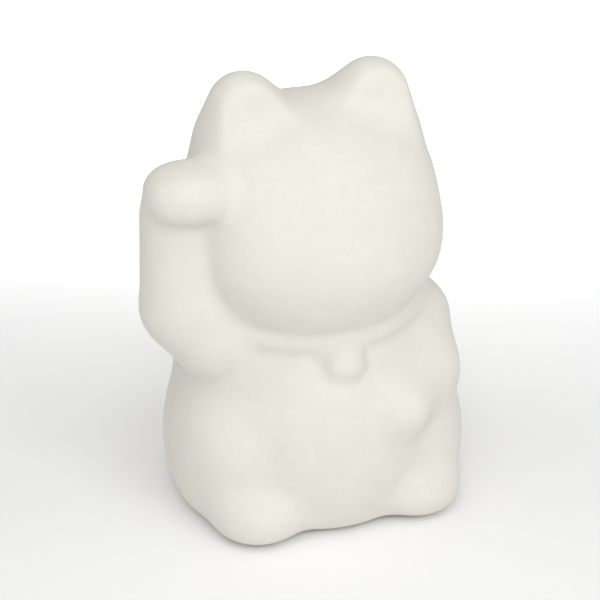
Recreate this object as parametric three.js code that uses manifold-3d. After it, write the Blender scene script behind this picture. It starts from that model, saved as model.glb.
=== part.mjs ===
// Beckoning cat money bank: a plain slip-cast bisque cat with a coin slot in the back of its head.
// The hollow casting is closed from below by a soft plug, and it stands on four small pads.
// Millimetres, +Z up. The cat looks along -Y, and its raised right paw is on the -X side.
import * as THREE from 'three';
import { mergeVertices } from 'three/addons/utils/BufferGeometryUtils.js';
import Module from 'manifold-3d';

const wasm = await Module();
wasm.setup();

// ---- driving dimensions ------------------------------------------------------------------------

const GAP = 0.3;            // clearance kept between neighbouring pieces
const PAD_STAND = 0.7;      // how far the pads lift the casting off the table
const CENTRE = [-3.6, 0];   // middle of the cat's outline in plan, which becomes the origin

const WALL = 4.6;           // cast wall
const FLOOR = 6.0;          // cast floor, inside of the resting face
const SKIN_CELL = 4.01;     // facet size of the outside
const CAVITY_CELL = 7.0;    // facet size of the inside
const SKIN_BOX = { low: [-62, -54, -10], high: [58, 54, 138] };   // room that holds the outside
const CAVITY_BOX = { low: [-50, -50, -6], high: [50, 50, 124] };  // room that holds the inside
const OVERRUN = { under: 1, inside: 4 };  // how far a cutter runs past the floor's two faces

// The body, as round lobes: where each one's middle is, and its half sizes.
const TORSO = { at: [0, 4.4, 29.5], radii: [35.2, 32.2, 58.4], power: 3.2 };
const TAPER = { at: [0, 2, 25], radii: [46, 44, 62] };
const BACK = { at: [0, 9, 32], radii: [29, 31, 42] };
const SHOULDERS = { at: [4, -3.5, 39.8], radii: [37.8, 24, 10] };
const THIGH = { at: [26.5, -7.3, 16.9], radii: [16.7, 28.1, 25.1], power: 2.1 };
const BELLY = { at: [0, -18.4, 23.2], radii: [30.9, 25.7, 36.3] };
const FOOT = { at: [23.4, -30.1, 6.5], radii: [13, 12.2, 10] };

// The head: a skull, a brow over each eye, and the cheeks and chin in one lobe.
const SKULL = { at: [0, -2.7, 81.2], radii: [30.5, 33.3, 36.5], power: 2.3 };
const BROW = { at: [18.8, -4.2, 86.3], radii: [17.3, 24.6, 26.7] };
const CHEEKS = { at: [0, -12.5, 78.6], radii: [33.4, 27.9, 21.3] };

// Each ear is a round cone, drawn out a little front to back and dished in front.
const EAR = { from: [15.5, -2.7, 105.9], to: [18.3, -4.2, 117], radii: [16.4, 10.1], flatten: 0.9 };
const EAR_DISH = { at: [19.8, -57.8, 128.8], radius: 47 };

// The raised right arm: forearm, elbow run into the shoulder, and a blunt paw bent forward on top.
const FOREARM = { from: [-36.5, -9.6, 64], to: [-38.7, -7.9, 90.9], radii: [13.6, 10.2] };
const ELBOW = { from: [-36.5, -9.6, 64], to: [-29, -10.5, 55.3], radii: [13.6, 14.4] };
const RAISED_PAW = { at: [-36.2, -14.5, 99.4], radii: [12.8, 11, 7.9], power: 2.4 };

// The left arm lies bent on the belly.
const UPPER_ARM = { from: [28.3, -6, 47.5], to: [28.8, -20, 38], radii: [13.6, 9.3] };
const LOWER_ARM = { from: [28.8, -20, 38], to: [16, -35.6, 35.8], radii: [9.3, 8.8] };

// A short tail lies curled against the back, just above the table.
const TAIL_ROOT = { from: [-9, 33, 8], to: [6, 38, 11], radii: [6.4, 6] };
const TAIL_TIP = { from: [6, 38, 11], to: [14, 36, 25], radii: [6, 4.8] };

// The moulded collar is a ring round the neck, lower in front and drawn in at the nape, with a round
// bell under the chin.
const COLLAR = { at: [0, 2.3, 62.4], radius: 32.9, thickness: 3.1, tilt: 10.7, nape: 0.95 };
const BELL = { at: [0.2, -33, 51.1], radius: 6.2 };

// How softly neighbouring lobes run into each other.
const BLEND = {
  body: 7.5,
  taper: 8,
  thigh: 6,
  foot: 5.5,
  tail: 3,
  elbow: 7,
  bend: 1.5,
  leftArm: 5,
  skull: 7.7,
  ear: 3.8,
  dish: 2.5,
  head: 2.5,
  paw: 4.5,
  raisedArm: 3.5,
  base: 3,
};

// Coin slot through the back of the head.
const SLOT = { width: 34, height: 5.6, z: 94, from: 12, to: 46 };

// Plug in the base: a cup with a flange that lies in a recess, and a grip bar under the flange.
const PLUG = { radius: 14, flangeRadius: 17, flangeThick: 1.6, height: 8, wall: 2.2, floor: 2, lip: 0.6 };
const GRIP = { length: 15, width: 3, height: 0.7 };
const RECESS_DEPTH = 2.5;
const PLUG_SIDES = 40;

// Pads under the base, each in a shallow socket.
const PAD = { radius: 5, thick: 1.7, bevel: 0.3, sides: 24 };
const PAD_PLACES = {
  foot_pad_front_right: [-21, -22],
  foot_pad_front_left: [21, -22],
  foot_pad_rear_right: [-19, 19],
  foot_pad_rear_left: [19, 19],
};

const BISQUE = { color: '#e9e6dc', roughness: 0.82, metalness: 0 };
const SOFT_PLUG = { color: '#d9d7cf', roughness: 0.5, metalness: 0 };
const PAD_RUBBER = { color: '#8b8983', roughness: 0.85, metalness: 0 };

// ---- distance fields ---------------------------------------------------------------------------
// Each one takes a point and gives its distance to the surface, negative inside.

const length = (...v) => Math.hypot(...v);
const minus = (p, q) => [p[0] - q[0], p[1] - q[1], p[2] - q[2]];
const dot = (p, q) => p[0] * q[0] + p[1] * q[1] + p[2] * q[2];
const bothSides = (p) => [Math.abs(p[0]), p[1], p[2]];

function smoothMin(a, b, k) {
  const h = Math.max(k - Math.abs(a - b), 0) / k;
  return Math.min(a, b) - (h * h * k) / 4;
}

function smoothMax(a, b, k) {
  return -smoothMin(-a, -b, k);
}

// An ellipsoid, or a squarer lobe where power is over 2.
function lobe(p, { at, radii, power = 2 }) {
  const q = minus(p, at).map((v, i) => Math.max(Math.abs(v) / radii[i], 1e-6));
  const level = q.reduce((sum, v) => sum + v ** power, 0) ** (1 / power);
  const slope = q.map((v, i) => (v / level) ** (power - 1) / radii[i]);
  return (level - 1) / length(...slope);
}

// The hull of two balls of different sizes.
function roundCone(p, { from, to, radii }) {
  const axis = minus(to, from);
  const span = length(...axis);
  const sine = (radii[0] - radii[1]) / span;
  const cosine = Math.sqrt(1 - sine * sine);
  const q = minus(p, from);
  const along = dot(q, axis) / span;
  const out = Math.sqrt(Math.max(dot(q, q) - along * along, 0));
  const foot = along * cosine - out * sine;
  if (foot < 0) return length(out, along) - radii[0];
  if (foot > cosine * span) return length(out, along - span) - radii[1];
  return out * cosine + along * sine - radii[0];
}

function ear(p) {
  const squeeze = ([x, y, z]) => [x, y * EAR.flatten, z];
  const cone = { from: squeeze(EAR.from), to: squeeze(EAR.to), radii: EAR.radii };
  const body = roundCone(squeeze(p), cone) / ((1 + EAR.flatten) / 2);
  const dish = length(...minus(p, EAR_DISH.at)) - EAR_DISH.radius;
  return smoothMax(body, -dish, BLEND.dish);
}

function trunk(p) {
  let d = smoothMax(lobe(p, TORSO), lobe(p, TAPER), BLEND.taper);
  d = smoothMin(d, lobe(p, BACK), BLEND.body);
  d = smoothMin(d, lobe(p, SHOULDERS), BLEND.body);
  d = smoothMin(d, lobe(bothSides(p), THIGH), BLEND.thigh);
  return smoothMin(d, lobe(p, BELLY), BLEND.body);
}

function head(p) {
  const d = smoothMin(lobe(p, SKULL), lobe(bothSides(p), BROW), BLEND.skull);
  return smoothMin(d, lobe(p, CHEEKS), BLEND.skull);
}

function cat(p) {
  const mirrored = bothSides(p);
  let d = smoothMin(trunk(p), lobe(mirrored, FOOT), BLEND.foot);
  const tail = smoothMin(roundCone(p, TAIL_ROOT), roundCone(p, TAIL_TIP), BLEND.tail);
  d = smoothMin(d, tail, BLEND.tail);
  const leftArm = smoothMin(roundCone(p, UPPER_ARM), roundCone(p, LOWER_ARM), BLEND.elbow);
  d = smoothMin(d, leftArm, BLEND.leftArm);
  d = smoothMin(d, smoothMin(head(p), ear(mirrored), BLEND.ear), BLEND.head);
  let raisedArm = smoothMin(roundCone(p, FOREARM), roundCone(p, ELBOW), BLEND.bend);
  raisedArm = smoothMin(raisedArm, lobe(p, RAISED_PAW), BLEND.paw);
  d = smoothMin(d, raisedArm, BLEND.raisedArm);
  return smoothMax(d, -p[2], BLEND.base);
}

// The hollow follows the trunk and head; the ears, arms, tail and feet are filled with clay.
function hollow(p) {
  const d = smoothMin(trunk(p), head(p), BLEND.body) + WALL;
  return smoothMax(d, FLOOR - p[2], BLEND.base);
}

// ---- from a field to a closed mesh -------------------------------------------------------------

// The way up the field at a point, with the field's value there.
function slopeAt(field, p) {
  const step = 0.01;
  const value = field(p);
  const up = [0, 1, 2].map((i) => {
    const q = [...p];
    q[i] += step;
    return (field(q) - value) / step;
  });
  return { value, up };
}

// Moves a point towards the surface, but keeps it inside its own grid cell.
function settle(field, start, low, cell) {
  let p = start;
  for (let i = 0; i < 4; i += 1) {
    const { value, up } = slopeAt(field, p);
    const size = Math.max(dot(up, up), 0.25);
    p = p.map((v, axis) => v - (value * up[axis]) / size);
  }
  const margin = 0.04 * cell;
  return p.map((v, axis) => THREE.MathUtils.clamp(v, low[axis] + margin, low[axis] + cell - margin));
}

// Surface nets: one point in each grid cell that the surface crosses, joined into quads.
function skinOf(field, { low, high }, cell) {
  const count = low.map((v, i) => Math.ceil((high[i] - v) / cell) + 1);
  const index = (i, j, k) => i + count[0] * (j + count[1] * k);
  const corner = (i, j, k) => [low[0] + i * cell, low[1] + j * cell, low[2] + k * cell];
  const value = new Float64Array(count[0] * count[1] * count[2]);
  const eachCell = (visit) => {
    for (let k = 0; k < count[2]; k += 1) {
      for (let j = 0; j < count[1]; j += 1) {
        for (let i = 0; i < count[0]; i += 1) visit(i, j, k);
      }
    }
  };
  eachCell((i, j, k) => {
    value[index(i, j, k)] = field(corner(i, j, k));
  });

  const positions = [];
  const vertexOf = new Map();
  const corners = [0, 1, 2, 3, 4, 5, 6, 7].map((n) => [n & 1, (n >> 1) & 1, (n >> 2) & 1]);
  eachCell((i, j, k) => {
    if (i + 1 >= count[0] || j + 1 >= count[1] || k + 1 >= count[2]) return;
    const crossings = [];
    for (const from of corners) {
      for (let axis = 0; axis < 3; axis += 1) {
        if (from[axis] === 1) continue;
        const to = from.map((v, n) => (n === axis ? 1 : v));
        const a = value[index(i + from[0], j + from[1], k + from[2])];
        const b = value[index(i + to[0], j + to[1], k + to[2])];
        if (a < 0 === b < 0) continue;
        const p = corner(i + from[0], j + from[1], k + from[2]);
        p[axis] += (cell * a) / (a - b);
        crossings.push(p);
      }
    }
    if (crossings.length === 0) return;
    const middle = [0, 1, 2].map((n) => crossings.reduce((s, p) => s + p[n], 0) / crossings.length);
    vertexOf.set(index(i, j, k), positions.length / 3);
    positions.push(...settle(field, middle, corner(i, j, k), cell));
  });

  const faces = [];
  const at = (v) => positions.slice(3 * v, 3 * v + 3);
  const spread = (v, w) => length(...minus(at(v), at(w)));
  const stride = [1, count[0], count[0] * count[1]];
  eachCell((i, j, k) => {
    const here = index(i, j, k);
    for (let axis = 0; axis < 3; axis += 1) {
      const b = (axis + 1) % 3;
      const c = (axis + 2) % 3;
      const place = [i, j, k];
      if (place[b] === 0 || place[c] === 0 || place[axis] + 1 >= count[axis]) continue;
      const inside = value[here] < 0;
      if (inside === value[here + stride[axis]] < 0) continue;
      const cells = [here, here - stride[b], here - stride[b] - stride[c], here - stride[c]];
      const quad = cells.map((cellIndex) => vertexOf.get(cellIndex));
      if (!inside) quad.reverse();
      const [p, q, r, s] = quad;
      if (spread(p, r) < spread(q, s)) faces.push(p, q, r, p, r, s);
      else faces.push(q, r, s, q, s, p);
    }
  });

  const geometry = new THREE.BufferGeometry();
  geometry.setAttribute('position', new THREE.Float32BufferAttribute(positions, 3));
  geometry.setIndex(faces);
  return geometry;
}

// ---- joining and cutting -----------------------------------------------------------------------

function solidOf(geometry) {
  const bare = geometry.clone();
  bare.deleteAttribute('normal');
  bare.deleteAttribute('uv');
  const merged = mergeVertices(bare, 1e-4);
  return new wasm.Manifold(new wasm.Mesh({
    numProp: 3,
    vertProperties: new Float32Array(merged.attributes.position.array),
    triVerts: new Uint32Array(merged.index.array),
  }));
}

function geometryOf(solid) {
  const mesh = solid.getMesh();
  const geometry = new THREE.BufferGeometry();
  geometry.setAttribute('position', new THREE.BufferAttribute(mesh.vertProperties, 3));
  geometry.setIndex(new THREE.BufferAttribute(mesh.triVerts, 1));
  geometry.computeVertexNormals();
  return geometry;
}

// A turned solid about Z, from its half outline as [radius, height] points that start and end on
// the axis.
function turned(outline, sides) {
  const points = outline.map(([radius, height]) => new THREE.Vector2(radius, height));
  return new THREE.LatheGeometry(points, sides).rotateX(Math.PI / 2);
}

function drum(radius, bottom, top, sides) {
  return turned([[0, bottom], [radius, bottom], [radius, top], [0, top]], sides);
}

// A flat outline with round ends, drawn about the origin in X and Y.
function stadium(long, wide) {
  const radius = wide / 2;
  const reach = long / 2 - radius;
  const shape = new THREE.Shape();
  shape.absarc(reach, 0, radius, -Math.PI / 2, Math.PI / 2);
  shape.absarc(-reach, 0, radius, Math.PI / 2, 1.5 * Math.PI);
  shape.closePath();
  return shape;
}

// ---- the pieces --------------------------------------------------------------------------------

function collarRing() {
  const ring = new THREE.TorusGeometry(COLLAR.radius, COLLAR.thickness, 10, 56);
  ring.rotateX(THREE.MathUtils.degToRad(COLLAR.tilt));
  const places = ring.attributes.position;
  for (let i = 0; i < places.count; i += 1) {
    if (places.getY(i) > 0) places.setY(i, places.getY(i) * COLLAR.nape);
  }
  return ring.translate(...COLLAR.at);
}

function bellBall() {
  return new THREE.SphereGeometry(BELL.radius, 18, 12).translate(...BELL.at);
}

function catShell() {
  const skin = skinOf(cat, SKIN_BOX, SKIN_CELL);
  const cavity = skinOf(hollow, CAVITY_BOX, CAVITY_CELL);
  const holeRadius = PLUG.radius + GAP;
  const recessRadius = PLUG.flangeRadius + GAP;
  const slot = new THREE.ExtrudeGeometry(stadium(SLOT.width, SLOT.height), {
    depth: SLOT.to - SLOT.from,
    bevelEnabled: false,
    curveSegments: 6,
  });
  slot.rotateX(-Math.PI / 2).translate(0, SLOT.from, SLOT.z);

  let shell = solidOf(skin).add(solidOf(collarRing())).add(solidOf(bellBall()));
  shell = shell.subtract(solidOf(cavity));
  shell = shell.subtract(solidOf(drum(holeRadius, -OVERRUN.under, FLOOR + OVERRUN.inside, PLUG_SIDES)));
  shell = shell.subtract(solidOf(drum(recessRadius, -OVERRUN.under, RECESS_DEPTH, PLUG_SIDES)));
  shell = shell.subtract(solidOf(slot));
  const socketDepth = PAD.thick - PAD_STAND + GAP;
  for (const [x, y] of Object.values(PAD_PLACES)) {
    const socket = drum(PAD.radius + GAP, -OVERRUN.under, socketDepth, PAD.sides).translate(x, y, 0);
    shell = shell.subtract(solidOf(socket));
  }
  return geometryOf(shell).translate(0, 0, PAD_STAND);
}

function baseStopper() {
  const top = RECESS_DEPTH - GAP;
  const bottom = top - PLUG.flangeThick;
  const end = top + PLUG.height;
  const inner = PLUG.radius - PLUG.wall;
  const outline = [
    [0, bottom],
    [PLUG.flangeRadius - PLUG.lip, bottom],
    [PLUG.flangeRadius, bottom + PLUG.lip],
    [PLUG.flangeRadius, top],
    [PLUG.radius, top],
    [PLUG.radius, end - PLUG.lip],
    [PLUG.radius - PLUG.lip, end],
    [inner, end],
    [inner, top + PLUG.floor],
    [0, top + PLUG.floor],
  ];
  const grip = new THREE.ExtrudeGeometry(stadium(GRIP.length, GRIP.width), {
    depth: 2 * GRIP.height,
    bevelEnabled: false,
    curveSegments: 6,
  });
  grip.translate(0, 0, bottom - GRIP.height);
  const plug = solidOf(turned(outline, PLUG_SIDES)).add(solidOf(grip));
  return geometryOf(plug).translate(0, 0, PAD_STAND);
}

function footPad() {
  return turned([
    [0, 0],
    [PAD.radius - PAD.bevel, 0],
    [PAD.radius, PAD.bevel],
    [PAD.radius, PAD.thick - PAD.bevel],
    [PAD.radius - PAD.bevel, PAD.thick],
    [0, PAD.thick],
  ], PAD.sides);
}

function piece(name, geometry, look, x = 0, y = 0) {
  const mesh = new THREE.Mesh(geometry, new THREE.MeshStandardMaterial(look));
  mesh.name = name;
  mesh.position.set(x, y, 0);
  return mesh;
}

const figurine = new THREE.Group();
figurine.add(piece('cat_shell', catShell(), BISQUE));
figurine.add(piece('base_stopper', baseStopper(), SOFT_PLUG));
for (const [name, [x, y]] of Object.entries(PAD_PLACES)) {
  figurine.add(piece(name, footPad(), PAD_RUBBER, x, y));
}
figurine.position.set(-CENTRE[0], -CENTRE[1], 0);

export default figurine;
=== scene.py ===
import math

import bpy
import numpy as np
from mathutils import Matrix, Vector


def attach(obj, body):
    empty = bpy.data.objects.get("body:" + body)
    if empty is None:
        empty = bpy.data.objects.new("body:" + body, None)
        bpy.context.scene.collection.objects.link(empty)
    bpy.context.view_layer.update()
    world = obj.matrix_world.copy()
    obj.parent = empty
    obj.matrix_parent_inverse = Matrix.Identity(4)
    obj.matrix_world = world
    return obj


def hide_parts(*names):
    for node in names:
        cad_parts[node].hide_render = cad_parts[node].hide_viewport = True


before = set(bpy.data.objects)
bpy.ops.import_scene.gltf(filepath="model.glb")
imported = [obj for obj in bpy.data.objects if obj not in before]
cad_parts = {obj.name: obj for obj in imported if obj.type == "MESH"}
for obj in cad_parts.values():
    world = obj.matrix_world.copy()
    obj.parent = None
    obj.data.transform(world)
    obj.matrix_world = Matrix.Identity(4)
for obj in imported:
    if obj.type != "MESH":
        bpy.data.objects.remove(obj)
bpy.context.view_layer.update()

MM = 0.001
PLACE = np.array([3.6, 0, 0.7])  # from the cat's own place to the frame, in mm

# ---- sizes of the cat --------------------------------------------------------------------------

TORSO = dict(at=(0, 4.4, 29.5), radii=(35.2, 32.2, 58.4), power=3.2)
TAPER = dict(at=(0, 2, 25), radii=(46, 44, 62))
BACK = dict(at=(0, 9, 32), radii=(29, 31, 42))
SHOULDERS = dict(at=(4, -3.5, 39.8), radii=(37.8, 24, 10))
THIGH = dict(at=(26.5, -7.3, 16.9), radii=(16.7, 28.1, 25.1), power=2.1)
BELLY = dict(at=(0, -18.4, 23.2), radii=(30.9, 25.7, 36.3))
FOOT = dict(at=(23.4, -30.1, 6.5), radii=(13, 12.2, 10))
SKULL = dict(at=(0, -2.7, 81.2), radii=(30.5, 33.3, 36.5), power=2.3)
BROW = dict(at=(18.8, -4.2, 86.3), radii=(17.3, 24.6, 26.7))
CHEEKS = dict(at=(0, -12.5, 78.6), radii=(33.4, 27.9, 21.3))
EAR = dict(start=(15.5, -2.7, 105.9), end=(18.3, -4.2, 117), radii=(16.4, 10.1))
EAR_SCALE = 0.9  # scales front-to-back distances: below 1 makes the ear deeper than it is wide
EAR_DISH = dict(at=(19.8, -57.8, 128.8), radii=(47, 47, 47))
FOREARM = dict(start=(-36.5, -9.6, 64), end=(-38.7, -7.9, 90.9), radii=(13.6, 10.2))
ELBOW = dict(start=(-36.5, -9.6, 64), end=(-29, -10.5, 55.3), radii=(13.6, 14.4))
RAISED_PAW = dict(at=(-36.2, -14.5, 99.4), radii=(12.8, 11, 7.9), power=2.4)
UPPER_ARM = dict(start=(28.3, -6, 47.5), end=(28.8, -20, 38), radii=(13.6, 9.3))
LOWER_ARM = dict(start=(28.8, -20, 38), end=(16, -35.6, 35.8), radii=(9.3, 8.8))
TAIL_ROOT = dict(start=(-9, 33, 8), end=(6, 38, 11), radii=(6.4, 6))
TAIL_TIP = dict(start=(6, 38, 11), end=(14, 36, 25), radii=(6, 4.8))
COLLAR = dict(at=(0, 2.3, 62.4), radius=32.9, thickness=3.1, tilt=10.7, nape=0.95)
BELL = dict(at=(0.2, -33, 51.1), radii=(6.2, 6.2, 6.2))
BLEND = dict(
    body=7.5,
    taper=8,
    thigh=6,
    foot=5.5,
    tail=3,
    elbow=7,
    bend=1.5,
    left_arm=5,
    collar=2,
    skull=7.7,
    ear=3.8,
    dish=2.5,
    head=2.5,
    paw=4.5,
    raised_arm=3.5,
    bell=4,
    base=3,
)

WALL = 4.6  # thickness of the clay
FLOOR = 6.0  # and of the casting's floor, under the hollow
SLOT = dict(width=34.0, height=5.6, z=94.0, front=8.0, lip=1.6)
HOLE = dict(radius=14.3, overrun=4)  # cut this far past the floor, into the hollow
RECESS = dict(radius=17.3, depth=2.5)
SOCKET = dict(radius=5.3, depth=1.3)
EDGE = 0.8  # rounding of the holes' rims
GAP = 0.3  # clearance between the recess's top and the plug's flange
PLUG = dict(
    radius=14.0,
    flange_radius=17.0,
    flange_thick=1.6,
    height=8.0,
    wall=2.2,
    floor=2.0,
    edge=0.6,
    ribs=(2.4, 4.4, 6.4),
    rib_sink=0.45,
    rib_radius=0.6,
    groove=14.6,
    groove_radius=0.55,
)
GRIP = dict(length=15.0, width=3.0, height=0.7)
PAD = dict(radius=5.0, thick=1.7, stand=0.7, edge=0.7)
PADS = {
    "foot_pad_front_right": (-21, -22),
    "foot_pad_front_left": (21, -22),
    "foot_pad_rear_right": (-19, 19),
    "foot_pad_rear_left": (19, 19),
}

# The box that each field is meshed in and the size of its facets. At 0.6 the plug's net has a few
# edges where four faces meet, at 0.59 none.
CAT_GRID = dict(low=(-58, -50, -3), high=(52, 50, 131), cell=1.05)
PLUG_GRID = dict(low=(-19, -19, -2), high=(19, 19, 12), cell=0.59)
PAD_GRID = dict(low=(-6, -6, -2), high=(6, 6, 2), cell=0.4)

# ---- distance fields ---------------------------------------------------------------------------
# Each takes points, one in a row, and gives distances to the surface, negative inside.

TINY = 1e-6  # keeps a lobe's slope from being undefined at its middle


def smooth_min(a, b, k):
    h = np.maximum(k - np.abs(a - b), 0) / k
    return np.minimum(a, b) - h * h * k / 4


def smooth_max(a, b, k):
    return -smooth_min(-a, -b, k)


def length(v):
    return np.sqrt((v * v).sum(-1))


def lobe(p, at, radii, power=2.0):
    """An ellipsoid, or a squarer lobe where power is over 2."""
    radii = np.array(radii, float)
    q = np.maximum(np.abs(p - np.array(at, float)) / radii, TINY)
    level = (q**power).sum(-1) ** (1 / power)
    slope = (q / level[:, None]) ** (power - 1) / radii
    return (level - 1) / length(slope)


def round_cone(p, start, end, radii):
    """The hull of two balls of different sizes."""
    start, end = np.array(start, float), np.array(end, float)
    span = np.linalg.norm(end - start)
    sine = (radii[0] - radii[1]) / span
    cosine = math.sqrt(1 - sine * sine)
    q = p - start
    along = q @ (end - start) / span
    out = np.sqrt(np.maximum((q * q).sum(-1) - along * along, 0))
    foot = along * cosine - out * sine
    near_start = np.hypot(out, along) - radii[0]
    near_end = np.hypot(out, along - span) - radii[1]
    side = out * cosine + along * sine - radii[0]
    return np.where(foot < 0, near_start, np.where(foot > cosine * span, near_end, side))


def ring(p, at, radius, thickness, tilt, nape):
    """A ring round the neck, tilted about X and drawn in at the nape."""
    q = p - np.array(at, float)
    q[:, 1] = np.where(q[:, 1] > 0, q[:, 1] / nape, q[:, 1])
    c, s = math.cos(math.radians(tilt)), math.sin(math.radians(tilt))
    across = np.hypot(q[:, 0], q[:, 1] * c + q[:, 2] * s)
    up = q[:, 2] * c - q[:, 1] * s
    return np.hypot(across - radius, up) - thickness


def ear(p):
    """The ear on the cat's left: a round cone, a little deeper than wide, dished in front."""
    scale = np.array([1, EAR_SCALE, 1])
    body = round_cone(p * scale, EAR["start"] * scale, EAR["end"] * scale, EAR["radii"])
    return smooth_max(body / ((1 + EAR_SCALE) / 2), -lobe(p, **EAR_DISH), BLEND["dish"])


def both_sides(p):
    """Points folded over onto +X, so that one lobe stands on both sides."""
    return np.column_stack([np.abs(p[:, 0]), p[:, 1], p[:, 2]])


def trunk(p):
    d = smooth_max(lobe(p, **TORSO), lobe(p, **TAPER), BLEND["taper"])
    d = smooth_min(d, lobe(p, **BACK), BLEND["body"])
    d = smooth_min(d, lobe(p, **SHOULDERS), BLEND["body"])
    d = smooth_min(d, lobe(both_sides(p), **THIGH), BLEND["thigh"])
    return smooth_min(d, lobe(p, **BELLY), BLEND["body"])


def head(p):
    d = smooth_min(lobe(p, **SKULL), lobe(both_sides(p), **BROW), BLEND["skull"])
    return smooth_min(d, lobe(p, **CHEEKS), BLEND["skull"])


def outside(p):
    """The cat's outer skin, without any hole."""
    mirrored = both_sides(p)
    d = smooth_min(trunk(p), lobe(mirrored, **FOOT), BLEND["foot"])
    tail = smooth_min(round_cone(p, **TAIL_ROOT), round_cone(p, **TAIL_TIP), BLEND["tail"])
    d = smooth_min(d, tail, BLEND["tail"])
    left_arm = smooth_min(round_cone(p, **UPPER_ARM), round_cone(p, **LOWER_ARM), BLEND["elbow"])
    d = smooth_min(d, left_arm, BLEND["left_arm"])
    band = smooth_min(ring(p, **COLLAR), lobe(p, **BELL), BLEND["bell"])
    d = smooth_min(d, band, BLEND["collar"])
    d = smooth_min(d, smooth_min(head(p), ear(mirrored), BLEND["ear"]), BLEND["head"])
    raised_arm = smooth_min(round_cone(p, **FOREARM), round_cone(p, **ELBOW), BLEND["bend"])
    raised_arm = smooth_min(raised_arm, lobe(p, **RAISED_PAW), BLEND["paw"])
    d = smooth_min(d, raised_arm, BLEND["raised_arm"])
    return smooth_max(d, -p[:, 2], BLEND["base"])


def hollow(p):
    """The space inside: trunk and head, a wall's thickness in. Limbs, ears and tail are solid."""
    d = smooth_min(trunk(p), head(p), BLEND["body"]) + WALL
    return smooth_max(d, FLOOR - p[:, 2], BLEND["base"])


def slot_prism(p):
    """The coin slot: a flat prism with round ends that runs back through the head."""
    radius = SLOT["height"] / 2
    reach = SLOT["width"] / 2 - radius
    x = np.maximum(np.abs(p[:, 0]) - reach, 0)
    section = np.hypot(x, p[:, 2] - SLOT["z"]) - radius
    return np.maximum(section, SLOT["front"] - p[:, 1])


def drum(p, x, y, radius, top):
    """An upright cylinder that ends at the top and has no bottom."""
    return np.maximum(np.hypot(p[:, 0] - x, p[:, 1] - y) - radius, p[:, 2] - top)


def casting(p):
    """The whole casting: skin, hollow, slot, plug hole and pad sockets."""
    d = smooth_max(outside(p), -slot_prism(p), SLOT["lip"])
    d = smooth_max(d, -hollow(p), EDGE)
    d = smooth_max(d, -drum(p, 0, 0, HOLE["radius"], FLOOR + HOLE["overrun"]), EDGE)
    d = smooth_max(d, -drum(p, 0, 0, RECESS["radius"], RECESS["depth"]), EDGE)
    for x, y in PADS.values():
        d = smooth_max(d, -drum(p, x, y, SOCKET["radius"], SOCKET["depth"]), EDGE)
    return d


def stopper(p):
    """The soft plug: a ribbed cup, a flange with a groove round it, and a grip bar underneath."""
    out = np.hypot(p[:, 0], p[:, 1])
    top = RECESS["depth"] - GAP
    bottom = top - PLUG["flange_thick"]
    end = top + PLUG["height"]
    flange = np.abs(p[:, 2] - (top + bottom) / 2) - PLUG["flange_thick"] / 2
    d = smooth_max(out - PLUG["flange_radius"], flange, PLUG["edge"])
    shank = smooth_max(out - PLUG["radius"], p[:, 2] - end, PLUG["edge"])
    shank = np.maximum(shank, bottom + PLUG["edge"] - p[:, 2])
    for height in PLUG["ribs"]:
        rib = np.hypot(out - PLUG["radius"] + PLUG["rib_sink"], p[:, 2] - top - height)
        shank = smooth_min(shank, rib - PLUG["rib_radius"], PLUG["edge"])
    d = smooth_min(d, shank, PLUG["edge"])
    cup = np.maximum(out - PLUG["radius"] + PLUG["wall"], top + PLUG["floor"] - p[:, 2])
    d = smooth_max(d, -cup, PLUG["edge"])
    groove = np.hypot(out - PLUG["groove"], p[:, 2] - bottom) - PLUG["groove_radius"]
    d = smooth_max(d, -groove, PLUG["edge"] / 2)
    x = np.maximum(np.abs(p[:, 0]) - (GRIP["length"] - GRIP["width"]) / 2, 0)
    bar = np.hypot(x, p[:, 1]) - GRIP["width"] / 2
    bar = smooth_max(bar, bottom - GRIP["height"] - p[:, 2], PLUG["edge"])
    bar = np.maximum(bar, p[:, 2] - bottom - PLUG["edge"])
    return smooth_min(d, bar, PLUG["edge"])


def pad(p):
    """A round stick-on pad with soft edges, about its own middle."""
    out = np.hypot(p[:, 0], p[:, 1])
    middle = PAD["thick"] / 2 - PAD["stand"]
    faces = np.abs(p[:, 2] - middle) - PAD["thick"] / 2
    return smooth_max(out - PAD["radius"], faces, PAD["edge"])


# ---- from a field to a mesh --------------------------------------------------------------------

PROBE = 0.02  # half the distance over which a slope is measured
LEAST_STEEPNESS = 0.25  # slope squared: keeps a step short where the field is flat
FIRST_ROUNDS, RELAX_ROUNDS, LATER_ROUNDS = 5, 3, 2


def slope_at(field, p):
    ups = [field(p + PROBE * axis) - field(p - PROBE * axis) for axis in np.eye(3)]
    return np.stack(ups, -1) / (2 * PROBE)


def settle(field, p, reach, rounds):
    """Moves points onto the surface, none of them further than its reach."""
    home = p.copy()
    for _ in range(rounds):
        up = slope_at(field, p)
        size = np.maximum((up * up).sum(-1), LEAST_STEEPNESS)
        p = p - (field(p) / size)[:, None] * up
        p = np.clip(p, home - reach, home + reach)
    return p


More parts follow.
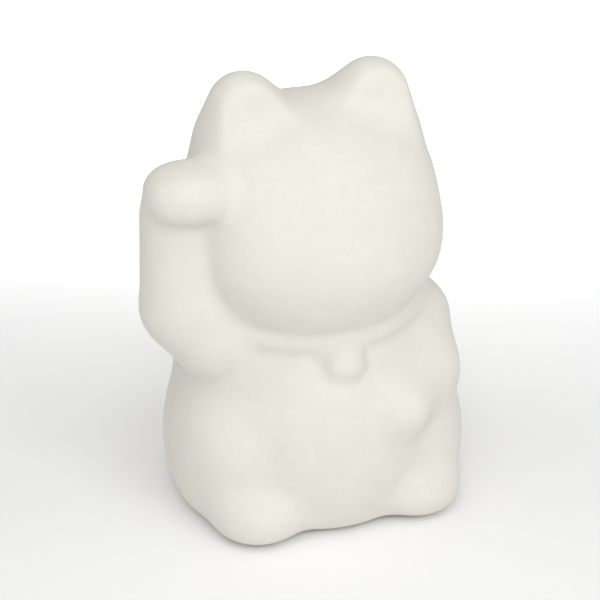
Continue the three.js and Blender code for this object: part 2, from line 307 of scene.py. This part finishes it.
def net(field, low, high, cell):
    """Surface nets: a point in each grid cell that the surface crosses, joined into quads."""
    low, high = np.array(low, float), np.array(high, float)
    count = np.ceil((high - low) / cell).astype(int) + 1
    axes = [low[i] + cell * np.arange(count[i]) for i in range(3)]
    value = np.empty(count)
    for i, x in enumerate(axes[0]):
        y, z = np.meshgrid(axes[1], axes[2], indexing="ij")
        points = np.stack([np.full(y.size, x), y.ravel(), z.ravel()], -1)
        value[i] = field(points).reshape(y.shape)
    inside = value < 0

    cells = count - 1
    total, weight = np.zeros((*cells, 3)), np.zeros(cells)

    def at_corner(array, c):
        return array[c[0]:c[0] + cells[0], c[1]:c[1] + cells[1], c[2]:c[2] + cells[2]]

    for start in [np.array([i, j, k]) for i in (0, 1) for j in (0, 1) for k in (0, 1)]:
        for axis in range(3):
            if start[axis]:
                continue
            end = start + np.eye(3, dtype=int)[axis]
            a, b = at_corner(value, start), at_corner(value, end)
            crossed = at_corner(inside, start) != at_corner(inside, end)
            share = np.where(crossed, a / np.where(crossed, a - b, 1), 0)
            spot = np.broadcast_to(start.astype(float), (*cells, 3)).copy()
            spot[..., axis] += share
            total += spot * crossed[..., None]
            weight += crossed
    used = weight > 0
    number = np.full(cells, -1)
    number[used] = np.arange(used.sum())
    points = low + cell * (np.argwhere(used) + total[used] / weight[used][:, None])

    quads = []
    for axis in range(3):
        b, c = (axis + 1) % 3, (axis + 2) % 3
        here = np.argwhere(np.diff(inside.astype(np.int8), axis=axis) != 0)
        here = here[(here[:, b] > 0) & (here[:, c] > 0)]
        here = here[(here[:, b] < cells[b]) & (here[:, c] < cells[c])]
        step_b, step_c = np.eye(3, dtype=int)[b], np.eye(3, dtype=int)[c]
        around = [here, here - step_b, here - step_b - step_c, here - step_c]
        quad = np.stack([number[tuple(place.T)] for place in around], -1)
        outward = inside[tuple(here.T)]
        quad[~outward] = quad[~outward][:, ::-1]
        quads.append(quad)
    quads = np.concatenate(quads)
    return relax(field, settle(field, points, cell, FIRST_ROUNDS), quads, cell), quads


def relax(field, points, quads, cell):
    """Evens out the net: points move half-way to their neighbours' middle, then settle again."""
    edges = np.concatenate([quads[:, [i, (i + 1) % 4]] for i in range(4)])
    edges = np.concatenate([edges, edges[:, ::-1]])
    degree = np.bincount(edges[:, 0], minlength=len(points))[:, None]
    for _ in range(RELAX_ROUNDS):
        middle = np.zeros_like(points)
        for axis in range(3):
            middle[:, axis] = np.bincount(edges[:, 0], points[edges[:, 1], axis], len(points))
        points = 0.5 * points + 0.5 * middle / degree
        points = settle(field, points, cell, LATER_ROUNDS)
    return points


def build(name, field, grid, place, body, replaced):
    """A smooth piece meshed from a field, riding on a body in place of a CAD node."""
    points, quads = net(field, **grid)
    mesh = bpy.data.meshes.new(name)
    mesh.from_pydata(((points + place) * MM).tolist(), [], quads.tolist())
    mesh.validate()
    mesh.polygons.foreach_set("use_smooth", [True] * len(mesh.polygons))
    mesh.update()
    piece = bpy.data.objects.new(name, mesh)
    bpy.context.scene.collection.objects.link(piece)
    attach(piece, body)
    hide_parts(replaced)
    return piece


cat = build("cat_casting", casting, CAT_GRID, PLACE, "figurine", "cat_shell")
plug = build("soft_plug", stopper, PLUG_GRID, PLACE, "stopper", "base_stopper")
pads = []
for node, (x, y) in PADS.items():
    name, place = node.replace("foot_pad", "stick_on_pad"), PLACE + np.array([x, y, 0])
    pads.append(build(name, pad, PAD_GRID, place, "figurine", node))

# ---- materials ---------------------------------------------------------------------------------


class Material:
    """A node material on a Principled shader, with short ways to add the nodes used here."""

    def __init__(self, name, colour, roughness, shine=0.5):
        self.data = bpy.data.materials.new(name)
        self.data.use_nodes = True
        self.tree = self.data.node_tree
        self.shader = self.tree.nodes["Principled BSDF"]
        self.shader.inputs["Base Color"].default_value = (*colour, 1)
        self.shader.inputs["Roughness"].default_value = roughness
        self.shader.inputs["Specular IOR Level"].default_value = shine
        self.place = self.tree.nodes.new("ShaderNodeTexCoord").outputs["Object"]

    def noise(self, size, detail=2.0, roughness=0.5):
        """Cloudy noise from 0 to 1 with spots of about the given size in mm."""
        node = self.tree.nodes.new("ShaderNodeTexNoise")
        node.inputs["Scale"].default_value = 1 / (size * MM)
        node.inputs["Detail"].default_value = detail
        node.inputs["Roughness"].default_value = roughness
        self.tree.links.new(self.place, node.inputs["Vector"])
        return node.outputs["Fac"]

    def pits(self, spacing):
        """Distance to the nearest of many scattered points, in units of their spacing in mm."""
        node = self.tree.nodes.new("ShaderNodeTexVoronoi")
        node.inputs["Scale"].default_value = 1 / (spacing * MM)
        self.tree.links.new(self.place, node.inputs["Vector"])
        return node.outputs["Distance"]

    def span(self, value, low, high, to_low, to_high):
        """Carries a value over from one range to another, smoothly and held at the ends."""
        node = self.tree.nodes.new("ShaderNodeMapRange")
        node.interpolation_type = "SMOOTHSTEP"
        self.tree.links.new(value, node.inputs["Value"])
        ends = {"From Min": low, "From Max": high, "To Min": to_low, "To Max": to_high}
        for name, number in ends.items():
            node.inputs[name].default_value = number
        return node.outputs["Result"]

    def math(self, operation, a, b):
        """Joins two values, each a socket or a float, by a sum such as ADD."""
        node = self.tree.nodes.new("ShaderNodeMath")
        node.operation = operation
        for socket, value in zip(node.inputs, (a, b)):
            if isinstance(value, float):
                socket.default_value = value
            else:
                self.tree.links.new(value, socket)
        return node.outputs["Value"]

    def height(self):
        """The height of the point shaded, in metres."""
        node = self.tree.nodes.new("ShaderNodeSeparateXYZ")
        self.tree.links.new(self.place, node.inputs["Vector"])
        return node.outputs["Z"]

    def tint(self, share, colour):
        """Lays another colour over the base colour, by a share from 0 to 1."""
        node = self.tree.nodes.new("ShaderNodeMix")
        node.data_type = "RGBA"
        base = self.shader.inputs["Base Color"]
        if base.is_linked:
            self.tree.links.new(base.links[0].from_socket, node.inputs["A"])
        else:
            node.inputs["A"].default_value = base.default_value
        node.inputs["B"].default_value = (*colour, 1)
        self.tree.links.new(share, node.inputs["Factor"])
        self.tree.links.new(node.outputs["Result"], base)

    def bump(self, value, depth):
        """Raises the surface by a value, times a depth in mm."""
        node = self.tree.nodes.new("ShaderNodeBump")
        node.inputs["Distance"].default_value = depth * MM
        normal = self.shader.inputs["Normal"]
        if normal.is_linked:
            self.tree.links.new(normal.links[0].from_socket, node.inputs["Normal"])
        self.tree.links.new(value, node.inputs["Height"])
        self.tree.links.new(node.outputs["Normal"], normal)

    def rough(self, value):
        """Takes the roughness from a value."""
        self.tree.links.new(value, self.shader.inputs["Roughness"])


def bisque():
    """Unglazed ceramic: chalky, with clouds, fine grain, sponge marks, specks and pinholes."""
    m = Material("bisque", (0.765, 0.743, 0.68), 0.8, 0.3)
    # slow clouds, sponge marks, powdery grain and rare specks
    m.tint(m.span(m.noise(26, 3), 0.35, 0.65, 0.0, 0.55), (0.735, 0.708, 0.638))
    m.tint(m.span(m.noise(4.5, 4), 0.4, 0.7, 0.0, 0.4), (0.79, 0.772, 0.715))
    m.tint(m.span(m.noise(0.5, 2), 0.45, 0.75, 0.0, 0.4), (0.70, 0.675, 0.61))
    m.tint(m.span(m.pits(7.5), 0.02, 0.035, 0.3, 0.0), (0.5, 0.44, 0.36))
    # the soiled rim at the foot, and painted shade darkening the creases
    foot = m.math("ADD", m.height(), m.math("MULTIPLY", m.noise(3.5, 3), 0.0035))
    m.tint(m.span(foot, 0.0018, 0.0052, 0.4, 0.0), (0.56, 0.52, 0.45))
    # painted shade: the colour is darkened where the pointiness is low, in the creases
    painted_crease_shade = m.tree.nodes.new("ShaderNodeNewGeometry").outputs["Pointiness"]
    m.tint(m.span(painted_crease_shade, 0.40, 0.49, 0.45, 0.0), (0.60, 0.56, 0.49))
    # unevenness from the coarsest down, and pinholes
    m.bump(m.noise(7, 2), 0.12)
    m.bump(m.noise(1.5, 3), 0.035)
    m.bump(m.noise(0.4, 3, 0.65), 0.022)
    m.bump(m.span(m.pits(6.3), 0.0, 0.035, 0.0, 1.0), 0.05)
    m.rough(m.span(m.noise(2.2, 4), 0.3, 0.7, 0.74, 0.92))
    return m.data


def soft_plug():
    """Milky soft plastic from a blasted mould, with small grubby flecks."""
    m = Material("soft_plug", (0.74, 0.73, 0.69), 0.45, 0.45)
    m.shader.inputs["Subsurface Weight"].default_value = 0.25
    m.shader.inputs["Subsurface Radius"].default_value = (0.003, 0.0028, 0.0024)
    m.tint(m.span(m.noise(6, 3), 0.4, 0.7, 0.0, 0.5), (0.69, 0.67, 0.61))
    m.tint(m.span(m.noise(0.8, 3), 0.62, 0.75, 0.0, 0.5), (0.52, 0.49, 0.43))
    m.bump(m.noise(0.25, 2), 0.012)
    m.bump(m.noise(3, 2), 0.03)
    m.rough(m.span(m.noise(1.8, 4), 0.35, 0.7, 0.36, 0.62))
    return m.data


def pad_rubber():
    """Grey rubber with dust stuck to it."""
    m = Material("pad_rubber", (0.25, 0.245, 0.235), 0.88, 0.3)
    m.tint(m.span(m.noise(1.6, 4), 0.45, 0.7, 0.0, 0.6), (0.34, 0.33, 0.31))
    m.tint(m.span(m.noise(0.3, 2), 0.6, 0.72, 0.0, 0.7), (0.5, 0.48, 0.44))
    m.bump(m.noise(0.3, 3), 0.02)
    m.rough(m.span(m.noise(1.2, 3), 0.35, 0.7, 0.78, 0.95))
    return m.data


def paper():
    """The pale paper that the cat stands on."""
    m = Material("paper", (0.93, 0.93, 0.93), 0.95, 0.1)
    m.tint(m.span(m.noise(1.2, 3), 0.35, 0.7, 0.0, 0.4), (0.915, 0.915, 0.915))
    return m.data


# ---- camera, floor and light ------------------------------------------------------------------

AZIMUTH, ELEVATION, ROLL = -18.31, 26.64, -0.18
DISTANCE = 0.56
SENSOR = 36.0
VIEW_WIDTH = 0.17036  # width of the picture at the aim point, in metres
AIM = (np.array([0, 0, 68]) + PLACE) * MM  # the point looked at
SHIFT_RIGHT, SHIFT_UP = 0.0011, 0.01204  # how far that point is off the picture's middle
CLIP_START = 0.01
FLOOR_SIZE = 6

# Soft round panels: degrees round to the right of the camera, degrees above it, and watts. Their
# size and their distance from the aim are in metres.
PANEL_SIZE, PANEL_DISTANCE = 0.5, 0.9
PANELS = {
    "front": (0, 10, 1.62),
    "front_right": (35, 10, 2.06),
    "front_left": (-35, 10, 0.91),
    "above": (0, 45, 1.06),
    "high_right": (60, 40, 0.72),
    "high_left": (-60, 40, 0.69),
    "behind": (180, 50, 0.3),
}
FILL = 0.388  # even light from all round

# A hooded panel over the floor behind the cat lights that floor and not the cat.
BACKDROP = dict(beyond=0.42, height=0.8, tilt=12, spread=60, watts=3.0)

azimuth, elevation, roll = map(math.radians, (AZIMUTH, ELEVATION, ROLL))
ahead = np.array([-math.sin(azimuth), math.cos(azimuth), 0])
back = np.array([0, 0, math.sin(elevation)]) - ahead * math.cos(elevation)
across = np.array([math.cos(azimuth), math.sin(azimuth), 0])
upright = np.cross(back, across)
right = math.cos(roll) * across + math.sin(roll) * upright
up = -math.sin(roll) * across + math.cos(roll) * upright
camera = bpy.data.objects.new("camera", bpy.data.cameras.new("camera"))
bpy.context.scene.collection.objects.link(camera)
spot = AIM + back * DISTANCE - right * SHIFT_RIGHT - up * SHIFT_UP
turn = Matrix((right, up, back)).transposed().to_4x4()
camera.matrix_world = Matrix.Translation(Vector(spot)) @ turn
camera.data.sensor_width = SENSOR
camera.data.lens = SENSOR * DISTANCE / VIEW_WIDTH
camera.data.clip_start = CLIP_START
bpy.context.scene.camera = camera


def panel(name, place, outward, watts):
    """A round soft light with its back turned outward, so that it shines the other way."""
    light = bpy.data.objects.new(name, bpy.data.lights.new(name, "AREA"))
    bpy.context.scene.collection.objects.link(light)
    light.data.shape = "DISK"
    light.data.size = PANEL_SIZE
    light.data.energy = watts
    light.location = Vector(place)
    light.rotation_mode = "QUATERNION"
    light.rotation_quaternion = Vector(outward).to_track_quat("Z", "Y")
    return light


for name, (side, rise, watts) in PANELS.items():
    side, rise = math.radians(side), math.radians(rise)
    outward = math.cos(rise) * (math.cos(side) * back + math.sin(side) * across)
    outward = outward + math.sin(rise) * upright
    panel(name, AIM + outward * PANEL_DISTANCE, outward, watts)
tilt = math.radians(BACKDROP["tilt"])
hung = panel(
    "backdrop",
    ahead * BACKDROP["beyond"] + np.array([0, 0, BACKDROP["height"]]),
    np.array([0, 0, math.cos(tilt)]) - ahead * math.sin(tilt),
    BACKDROP["watts"],
)
hung.data.spread = math.radians(BACKDROP["spread"])

bpy.ops.mesh.primitive_plane_add(size=FLOOR_SIZE)
floor = bpy.context.object
floor.name = "floor"
world = bpy.data.worlds.new("studio")
bpy.context.scene.world = world
world.use_nodes = True
sky = world.node_tree.nodes["Background"]
sky.inputs["Color"].default_value = (1, 1, 1, 1)
sky.inputs["Strength"].default_value = FILL
bpy.context.scene.view_settings.view_transform = "Standard"

cat.data.materials.append(bisque())
plug.data.materials.append(soft_plug())
rubber = pad_rubber()
for each in pads:
    each.data.materials.append(rubber)
floor.data.materials.append(paper())
